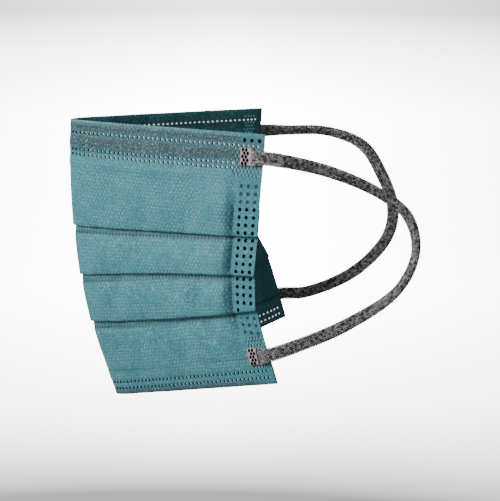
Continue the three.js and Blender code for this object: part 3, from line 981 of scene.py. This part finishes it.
def row_dots():
    """The rows of the hems, as places of the film from the front and from behind."""
    front, behind = [], []
    rows = [(drop, 0, 0 if drop == TOP_DOT_ROWS[0] else HORN_REACH["top"]) for drop in TOP_DOT_ROWS]
    rows += [(0, rise, 0) for rise in BOTTOM_DOT_ROWS]
    for side in (LEFT, RIGHT):
        for drop, rise, stop in rows:
            last = HALF_WIDTH - max(stop, 1.2)
            sections = sections_along(side, dot_positions(ROW_DOT_PITCH / 2, last, ROW_DOT_PITCH))
            level = sections.drops[-1] - rise if rise else sections.every(drop)
            outward = outward_at(sections, level)
            film = sections.hem_depth(level) + FILM_BEHIND
            front.append((sections.point(level, film), outward))
            behind.append((sections.point(level, film + FILM), -outward))
    return front, behind


def near_weld(side, lowest, level):
    """Whether a side dot at that level would lie in the marks of a welding horn."""
    if level == TOP_SIDE_DOT:
        return False
    clear = HORN_HEIGHT / 2 + 1
    return level < TOP_HEM or level > lowest - WELD_BOTTOM_INSET[side] - clear


def side_dots():
    """Columns of dots down both side margins, deep ones and those that hardly marked the cloth."""
    deep, faint = [], []
    for side in (LEFT, RIGHT):
        for inset in SIDE_DOT_COLUMNS:
            section = sections_along(side, [HALF_WIDTH - inset])
            drops = section.drops[:, 0]
            first = drops[1] + SIDE_DOT_PITCH / 2
            levels = [first + SIDE_DOT_PITCH * i for i in range(-12, 16)]
            for level in [TOP_SIDE_DOT, *levels]:
                if np.abs(drops[1:-1] - level).min() < 1 or near_weld(side, drops[-1], level):
                    continue
                is_faint = TOP_SIDE_DOT < level < FAINT_ABOVE or level > drops[3] + 1
                level = np.array([level])
                depth = FAINT_DOT_DEPTH if is_faint else SIDE_DOT_DEPTH
                place = (section.face(level, -depth), outward_at(section, level))
                (faint if is_faint else deep).append(place)
    return deep, faint


def horn_dots(reach):
    """Staggered dots of one weld, as insets from the side edge and heights off its middle."""
    found = []
    rows = int(HORN_HEIGHT / 2 / HORN_ROW)
    for row in range(-rows, rows + 1):
        shift = HORN_PITCH / 2 if row % 2 else 0
        for inset in np.arange(1.2 + shift, reach, HORN_PITCH):
            found.append((inset, row * HORN_ROW))
    return found


def weld_sections(side, from_top, inset):
    sections = sections_along(side, [HALF_WIDTH - inset])
    middle = WELD_TOP_INSET[side] if from_top else sections.drops[-1] - WELD_BOTTOM_INSET[side]
    return sections, sections.every(0) + middle


def horn_marks():
    """Where the horn marked the cloth round the end of each band."""
    placed = []
    for side in (LEFT, RIGHT):
        for from_top in (True, False):
            for inset, lower in horn_dots(HORN_REACH["top" if from_top else "bottom"]):
                sections, middle = weld_sections(side, from_top, inset)
                level = middle + lower
                rise = sections.drops[-1] - level
                rows = [abs(level - row) for row in (TOP_SIDE_DOT, TOP_DOT_ROWS[0])]
                rows += [abs(rise - row) for row in BOTTOM_DOT_ROWS]
                under_band = abs(lower) < WELD_WIDTH / 2 + 0.3 and inset < WELD_OVERLAP + 0.3
                if under_band or min(rows) < 1.1:
                    continue
                placed.append((sections.face(level, -HORN_DOT_DEPTH), outward_at(sections, level)))
    return placed


def horn_marks_behind():
    """The faint marks of the horn on the inner face of the top hem."""
    placed = []
    for side in (LEFT, RIGHT):
        for inset, lower in horn_dots(HORN_SEEN_BEHIND["reach"]):
            sections, middle = weld_sections(side, True, inset)
            level = middle + lower
            clear = np.abs(level - TOP_DOT_ROWS[0]).min() > 1
            if clear and inset > HORN_SEEN_BEHIND["from"] and level.min() > 1.5:
                floor = sections.hem_depth(level) + CLOTH - HORN_SEEN_BEHIND["depth"]
                placed.append((sections.point(level, floor), -outward_at(sections, level)))
    return placed


def dot_cutter():
    """A prism one unit long and one in radius, closed at its floor and its open end."""
    sides = 10
    points, faces = [], []
    for height in (0, 1):
        for i in range(sides):
            angle = 2 * math.pi * (i + 0.5) / sides
            points.append((math.cos(angle) / MM, math.sin(angle) / MM, height / MM))
    for i in range(sides):
        following = (i + 1) % sides
        faces.append((i, following, following + sides, i + sides))
    faces.append(tuple(reversed(range(sides))))
    faces.append(tuple(range(sides, 2 * sides)))
    cutter = mesh_object("dot_cutter", points, faces)
    floor = cutter.data.attributes.new("floor", "BOOLEAN", "FACE")
    floor.data.foreach_set("value", [i == sides for i in range(sides + 2)])
    return cutter


def clear_away(*pieces):
    for piece in pieces:
        bpy.data.objects.remove(piece)


def punch(piece, placed, radius, length, floor, wall=None, tall=1):
    marks = dot_marks("dot_marks", placed, (radius, radius * tall, length))
    wall = wall or painted_shade_wall
    cutter.data.materials.clear()
    cutter.data.materials.append(wall)
    values = {"Marks": marks, "Dot Cutter": cutter, "Wall Finish": wall, "Floor Finish": floor}
    apply_tree(piece, punching, values)
    piece.data.set_sharp_from_angle(angle=SHARP_ANGLE)
    clear_away(marks)


def make_punched_cloth():
    cloth, whole = make_cloth("mask_cloth"), make_cloth("whole_cloth")
    front, behind = row_dots()
    deep, faint = side_dots()
    seen_behind = HORN_SEEN_BEHIND["radius"]
    # The row dots' film glows as painted backlight. Their walls, the horn dots' walls and the whole of
    # each deep side dot are near-black painted shade.
    punch(cloth, front, ROW_DOT_RADIUS, CUTTER["row"], painted_backlight_film)
    punch(cloth, behind, BEHIND_DOT_RADIUS, CUTTER["row"], painted_backlight_film)
    punch(cloth, deep, SIDE_DOT_RADIUS, CUTTER["deep"], painted_shade_wall)
    punch(cloth, faint, SIDE_DOT_RADIUS, CUTTER["shallow"], faint_dot, faint_dot)
    punch(cloth, horn_marks(), HORN_DOT_RADIUS, CUTTER["shallow"], horn_dot, painted_shade_wall)
    punch(cloth, horn_marks_behind(), seen_behind, CUTTER["shallow"], painted_backlight_horn_behind, painted_backlight_horn_behind)
    apply_tree(cloth, reweave_tree(), {"Whole Cloth": whole})
    cloth.data.set_sharp_from_angle(angle=SHARP_ANGLE)
    clear_away(whole)
    return cloth


punching = punch_tree()
knitting = stitch_tree()
cutter = dot_cutter()
cloth = make_punched_cloth()


# The nose wire


def make_nose_wire():
    """A flat strip in the pocket of the top hem, folded with it round the centre crease."""
    middle = CLOTH - WIRE_SPREAD * POCKET_OUTWARDS + WIRE_ROOM + WIRE_THICKNESS / 2
    half_width, half_thickness, corner = WIRE_WIDTH / 2, WIRE_THICKNESS / 2, 0.25
    outline = [
        (half_width, -half_thickness + corner),
        (half_width, half_thickness - corner),
        (half_width - corner, half_thickness),
        (-half_width + corner, half_thickness),
        (-half_width, half_thickness - corner),
        (-half_width, -half_thickness + corner),
        (-half_width + corner, -half_thickness),
        (half_width - corner, -half_thickness),
    ]
    rings = []
    for sections in both_halves(WIRE_SHARE):
        ring = [sections.point(sections.every(WIRE_DEPTH + down), middle + deep) for down, deep in outline]
        rings.append(np.array(ring))
    points = np.concatenate(rings, axis=1)
    count, stations_across = points.shape[:2]
    points = np.swapaxes(points, 0, 1).reshape(-1, 3)
    return mesh_object("nose_wire_strip", points, ring_faces(stations_across, count), [wire_finish])


# The ear loops


def rounded_route(points):
    """A smooth curve through points, with spans in keeping with their distances."""
    points = [np.asarray(point, float) for point in points]
    points = [2 * points[0] - points[1], *points, 2 * points[-1] - points[-2]]
    found = []
    for p0, p1, p2, p3 in zip(points, points[1:], points[2:], points[3:]):
        before, span, after = (np.linalg.norm(b - a) ** 0.5 for a, b in ((p0, p1), (p1, p2), (p2, p3)))
        start = (p1 - p0) / before - (p2 - p0) / (before + span) + (p2 - p1) / span
        end = (p2 - p1) / span - (p3 - p1) / (span + after) + (p3 - p2) / after
        start, end = start * span, end * span
        for t in np.linspace(0, 1, ROUTE_STEPS, endpoint=False):
            square, cube = t * t, t * t * t
            point = p1 + start * t + (3 * (p2 - p1) - 2 * start - end) * square
            found.append(point + (2 * (p1 - p2) + start + end) * cube)
    found.append(points[-2])
    return np.array(found)


def weld_point(side, from_top, inset, lower=0.0, clear=0.0):
    sections, middle = weld_sections(side, from_top, inset)
    return sections.face(middle + lower, clear)[0]


def face_direction(side, from_top):
    """Square to the cloth under the welded end of a band."""
    half, width = WELD_OVERLAP / 2, WELD_WIDTH / 2
    down = weld_point(side, from_top, half, width) - weld_point(side, from_top, half, -width)
    backwards = weld_point(side, from_top, 0) - weld_point(side, from_top, WELD_OVERLAP)
    square = np.cross(down, backwards) * -side
    return square / np.linalg.norm(square)


def band_route(side, route):
    clear = WELD_ROOM + WELD_THICKNESS / 2

    def on_face(inset, from_top):
        return weld_point(side, from_top, inset, 0, clear)

    high, low = on_face(0, True), on_face(0, False)
    free = []
    for row in route:
        away = np.array([row["back"] * LOOP_REACH, side * row["out"] * LOOP_SPREAD, 0])
        free.append(lerp(high, low, row["drop"]) + away)
    upper = [on_face(WELD_OVERLAP, True), on_face(WELD_OVERLAP / 2, True), high]
    lower = [low, on_face(WELD_OVERLAP / 2, False), on_face(WELD_OVERLAP, False)]
    return rounded_route(upper + free + lower)


class Band:
    """The form of one ear loop: its line, and its section at any distance along it."""

    def __init__(self, side, route):
        self.side = side
        self.route = band_route(side, route)
        steps = np.linalg.norm(np.diff(self.route, axis=0), axis=1)
        self.lengths = np.concatenate([[0], np.cumsum(steps)])
        self.length = self.lengths[-1]
        self.corners = self.lengths[::ROUTE_STEPS]
        self.twists = [0, 0, 0, *[row["twist"] for row in route], 0, 0, 0]
        self.welded = [face_direction(side, True), face_direction(side, False)]

    def line(self, distance):
        return np.stack([np.interp(distance, self.lengths, axis) for axis in self.route.T], axis=-1)

    @functools.lru_cache(maxsize=None)
    def frame(self, distance):
        """The middle, and the directions along, across and through the band."""
        from_end = min(distance, self.length - distance)
        free = smooth(WELD_OVERLAP, 2 * WELD_OVERLAP, from_end)
        share = distance / self.length
        step = 0.4
        along = self.line(min(distance + step, self.length)) - self.line(max(distance - step, 0))
        along /= np.linalg.norm(along)
        sideways = np.array([0, self.side, 0])
        level = lerp(self.welded[0 if share < 0.5 else 1], sideways, free)
        flat = -np.cross(np.cross(level, along), along)
        flat /= np.linalg.norm(flat)
        upright = np.cross(flat, along)
        twist = math.radians(np.interp(distance, self.corners, self.twists))
        across = upright * math.cos(twist) + np.cross(along, upright) * math.sin(twist)
        through = flat * math.cos(twist) + np.cross(along, flat) * math.sin(twist)
        ends = [0, PRESSED_END, WELD_OVERLAP, 3 * WELD_OVERLAP]
        width = np.interp(from_end, ends, list(BAND_WIDTHS.values()))
        # The knit springs back to its full thickness behind the pressed end.
        sprung = 0.5 * smooth(PRESSED_END, PRESSED_END + BAND_SPRING, from_end) + 0.5 * free
        thickness = lerp(WELD_THICKNESS, BAND_THICKNESS, sprung)
        middle = self.line(distance) + flat * (thickness - WELD_THICKNESS) / 2
        return middle, along, across, through, width, thickness, free

    def surface(self, distance, angle, inward=0.0):
        """A point on the band and the direction square to it."""
        middle, along, across, through, width, thickness, free = self.frame(distance)
        groove = BAND_GROOVE["depth"] * lerp(BAND_GROOVE["pressed"], 1, free)

        def at(angle):
            cosine, sine = math.cos(angle), math.sin(angle)
            x = math.copysign(abs(cosine) ** BAND_SQUARENESS, cosine) * (width / 2 - inward)
            y = math.copysign(abs(sine) ** BAND_SQUARENESS, sine) * (thickness / 2 - inward)
            y *= 1 - groove * math.exp(-((x / (BAND_GROOVE["width"] * width)) ** 2))
            return middle + across * x + through * y

        point = at(angle)
        ahead = at(angle + 0.02) - at(angle - 0.02)
        square = np.cross(ahead, along)
        square /= np.linalg.norm(square)
        if np.dot(square, point - middle) < 0:
            square = -square
        return point, square, along


def even_angles(band, count):
    """Angles that lie evenly round the section of the free band."""
    turns = np.linspace(0, 2 * np.pi, 241)
    ring = np.array([band.surface(band.length / 2, angle)[0] for angle in turns])
    lengths = np.concatenate([[0], np.cumsum(np.linalg.norm(np.diff(ring, axis=0), axis=1))])
    return np.interp((np.arange(count) + 0.5) / count * lengths[-1], lengths, turns)


def stitch_shape():
    """One V of yarn: two legs that rise from its foot to the sides, each a short bent tube."""
    half = YARN_THICKNESS / 2
    sides = 5
    points, faces = [], []
    for lean in (-1, 1):
        spine = [(0.05, -0.62, -0.05), (0.16, -0.2, 0.12), (0.36, 0.25, 0.14), (0.48, 0.6, -0.05)]
        base = len(points)
        for x, y, z in spine:
            for i in range(sides):
                angle = 2 * math.pi * i / sides
                wide, high = math.cos(angle) * half, math.sin(angle) * half
                points.append(((x + wide * 0.92) * lean, y - wide * 0.4, z + high))
        for s in range(len(spine) - 1):
            for i in range(sides):
                a = base + s * sides + i
                b = base + s * sides + (i + 1) % sides
                face = (a, b, b + sides, a + sides)
                faces.append(face if lean < 0 else face[::-1])
        ends = [tuple(range(base, base + sides)), tuple(range(base + 3 * sides, base + 4 * sides))]
        faces.append(ends[0][::-1] if lean < 0 else ends[0])
        faces.append(ends[1] if lean < 0 else ends[1][::-1])
    return mesh_object("stitch", points, faces, [yarn])


def cells():
    """Staggered cells in a pressed end, as distances from the end and heights off its middle."""
    found = []
    for row in (-2, -1, 0, 1, 2):
        first = CELL_PITCH if row % 2 else CELL_PITCH / 2
        for distance in np.arange(first + 0.25, PRESSED_END - 0.2, CELL_PITCH):
            found.append((distance, row * CELL_ROW))
    return found


def band_punches(band):
    """The staggered dots of the horn, in both pressed ends of a band."""
    placed = []
    for from_top in (True, False):
        for distance, lower in cells():
            along_band = distance if from_top else band.length - distance
            middle, along, across, through, width, thickness, free = band.frame(along_band)
            sign = 1 if from_top else -1
            outward = band.welded[0 if from_top else 1]
            point = middle + across * lower * sign + outward * (thickness / 2 - CELL_DEPTH)
            placed.append((point[None], outward[None]))
    return placed


def paleness(distance, band):
    """The knit is stretched and paler next to a weld."""
    from_end = min(distance, band.length - distance)
    return 1 - smooth(*PALE_RUN, from_end - PRESSED_END)


def make_ear_loop(side, route, name, tone_seed):
    band = Band(side, route)
    angles = 2 * np.pi * (np.arange(BAND_SIDES) + 0.5) / BAND_SIDES
    distances = np.linspace(0, band.length, BAND_STATIONS + 1)
    points = []
    for distance in distances:
        from_end = min(distance, band.length - distance)
        inward = CORE_INSET * smooth(PRESSED_END - 0.5, PRESSED_END + 1.5, from_end)
        points += [band.surface(distance, angle, inward)[0] for angle in angles]
    faces = ring_faces(len(distances), BAND_SIDES)
    if side == RIGHT:
        faces = [face[::-1] for face in faces]
    core = mesh_object(name, points, faces, [pressed_band, band_core])
    starts = band.length * (np.arange(len(faces)) // BAND_SIDES) / BAND_STATIONS
    from_end = np.minimum(starts, band.length - starts)
    finish = np.where(from_end < PRESSED_END + 0.6, 0, 1).astype(np.int32)
    core.data.polygons.foreach_set("material_index", finish)
    # The cells in the pressed ends are near-black painted shade.
    punch(core, band_punches(band), CELL_RADIUS, CUTTER["deep"], painted_shade_wall, painted_shade_wall, CELL_TALL)

    marks, squares, alongs, pale = [], [], [], []
    courses = np.arange(PRESSED_END + 0.5, band.length - PRESSED_END - 0.5, COURSE_PITCH)
    for distance in courses:
        for angle in even_angles_of[side]:
            point, square, along = band.surface(distance, angle, STITCH_INSET)
            marks.append(point)
            squares.append(square)
            alongs.append(along)
            pale.append(paleness(distance, band))
    host = mesh_object(name + "_stitches", marks, [])
    squares, alongs = np.array(squares), np.array(alongs)
    across = np.cross(alongs, squares)
    store(host.data, "turn", turns_of(across, alongs, squares))
    store(host.data, "size", np.ones((len(marks), 3)))
    store(host.data, "pale", pale)
    apply_tree(host, knitting, {"Stitch": stitch, "Yarn": yarn, "Tone Seed": tone_seed})
    return join_pieces(name, core, host)


def join_pieces(name, *pieces):
    """One mesh from several pieces that are made as one."""
    with bpy.context.temp_override(
        active_object=pieces[0], selected_editable_objects=list(pieces), selected_objects=list(pieces)
    ):
        bpy.ops.object.join()
    pieces[0].name = pieces[0].data.name = name
    return pieces[0]


stitch = stitch_shape()
even_angles_of = {
    side: even_angles(Band(side, route), WALES)
    for side, route in ((LEFT, LEFT_ROUTE), (RIGHT, RIGHT_ROUTE))
}
loops = {
    "ear_loop_left": make_ear_loop(LEFT, LEFT_ROUTE, "knit_loop_left", 11),
    "ear_loop_right": make_ear_loop(RIGHT, RIGHT_ROUTE, "knit_loop_right", 23),
}
wire = make_nose_wire()
clear_away(cutter, stitch)


# Camera, light and stage


VIEW_TARGET = Vector((67.8, 0, -52.45)) * MM
VIEW_AZIMUTH = math.radians(1.2)
VIEW_ELEVATION = math.radians(12.1)
VIEW_DISTANCE = 700 * MM
LENS = 126.97

# The pale stage in metres: a round floor that sweeps up into a backdrop
STAGE_PROFILE = table(
    ["radius", "height"],
    [
        [0, -0.4],
        [0.6, -0.4],
        [1, -0.4],
        [1.25, -0.37],
        [1.5, -0.27],
        [1.7, -0.1],
        [1.85, 0.15],
        [1.95, 0.5],
        [2, 1],
        [2, 2],
    ],
)
STAGE_SIDES = 64
STAGE_GLOW = 16.0
WORLD_LIGHT = 0.15
# Where the stage's own light changes and from what to what: out from its middle, up and sideways
STAGE_LIGHT = {
    "out": (0.68, 1.27, 0.015, 1.0),
    "up": (-0.21, -0.09, 1.0, 0.18),
    "sideways": (0.02, 0.5, 1.0, 0.3),
}
LIGHTS = table(
    ["name", "azimuth", "elevation", "distance", "size", "power"],
    [
        ["key", -66, 35, 0.9, 0.45, 10.2],
        ["fill", -20, 5, 1.0, 0.8, 1.6],
    ],
)


def direction(azimuth, elevation):
    """From the mask towards a place seen at that azimuth and elevation."""
    level = math.cos(elevation)
    return Vector((math.sin(azimuth) * level, -math.cos(azimuth) * level, math.sin(elevation)))


def make_camera():
    camera = bpy.data.objects.new("camera", bpy.data.cameras.new("camera"))
    camera.data.lens = LENS
    camera.data.clip_end = 50
    back = direction(VIEW_AZIMUTH, VIEW_ELEVATION)
    camera.location = VIEW_TARGET + back * VIEW_DISTANCE
    camera.rotation_euler = (-back).to_track_quat("-Z", "Y").to_euler()
    bpy.context.scene.collection.objects.link(camera)
    bpy.context.scene.camera = camera


def soft_light(name, azimuth, elevation, distance, size, power):
    light = bpy.data.objects.new(name, bpy.data.lights.new(name, "AREA"))
    light.data.shape = "DISK"
    light.data.size = size
    light.data.energy = power
    towards = direction(math.radians(azimuth), math.radians(elevation))
    light.location = VIEW_TARGET + towards * distance
    light.rotation_euler = (-towards).to_track_quat("-Z", "Y").to_euler()
    bpy.context.scene.collection.objects.link(light)


def stage_paint():
    """Near-white, brightest round the sweep, with softer light on the floor and up the backdrop."""
    material, build, shader = new_material("stage_paint", 0.9)
    place = build.add("ShaderNodeTexCoord").outputs["Object"]
    split = build.add("ShaderNodeSeparateXYZ", {0: place})
    level = build.vector("LENGTH", build.vector("MULTIPLY", place, (1, 1, 0)))
    floor_light = build.ramp(level, *STAGE_LIGHT["out"])
    wall_light = build.ramp(split.outputs["Z"], *STAGE_LIGHT["up"])
    sideways = build.math("ABSOLUTE", split.outputs["X"])
    wide_light = build.ramp(sideways, *STAGE_LIGHT["sideways"])
    light = build.math("MULTIPLY", build.math("MULTIPLY", floor_light, wall_light), wide_light)
    glow = build.math("MULTIPLY", light, STAGE_GLOW)
    build.tree.links.new(glow, shader.inputs["Emission Strength"])
    shader.inputs["Base Color"].default_value = colour_of(246, 246, 246)
    shader.inputs["Emission Color"].default_value = (1, 1, 1, 1)
    return material


def make_stage():
    """The floor and backdrop, lit by themselves so that they throw no light on the mask."""
    points, faces = [], []
    for row in STAGE_PROFILE:
        for i in range(STAGE_SIDES):
            angle = 2 * math.pi * i / STAGE_SIDES
            reach = row["radius"] / MM
            points.append((reach * math.cos(angle), reach * math.sin(angle), row["height"] / MM))
    for r in range(len(STAGE_PROFILE) - 1):
        for i in range(STAGE_SIDES):
            a, b = r * STAGE_SIDES + i, r * STAGE_SIDES + (i + 1) % STAGE_SIDES
            faces.append((a, b, b + STAGE_SIDES, a + STAGE_SIDES))
    floor = mesh_object("stage_floor", points, faces, [stage_paint()])
    floor.visible_diffuse = False
    floor.visible_glossy = False
    floor.visible_transmission = False
    floor.visible_shadow = False
    world = bpy.data.worlds.new("studio")
    world.use_nodes = True
    world.node_tree.nodes["Background"].inputs["Color"].default_value = (1, 1, 1, 1)
    world.node_tree.nodes["Background"].inputs["Strength"].default_value = WORLD_LIGHT
    bpy.context.scene.world = world


make_camera()
make_stage()
for row in LIGHTS:
    soft_light(**row)

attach(cloth, "root")
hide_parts("pleated_panel")
for node, loop in loops.items():
    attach(loop, "root")
    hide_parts(node)
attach(wire, "root")
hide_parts("nose_wire")
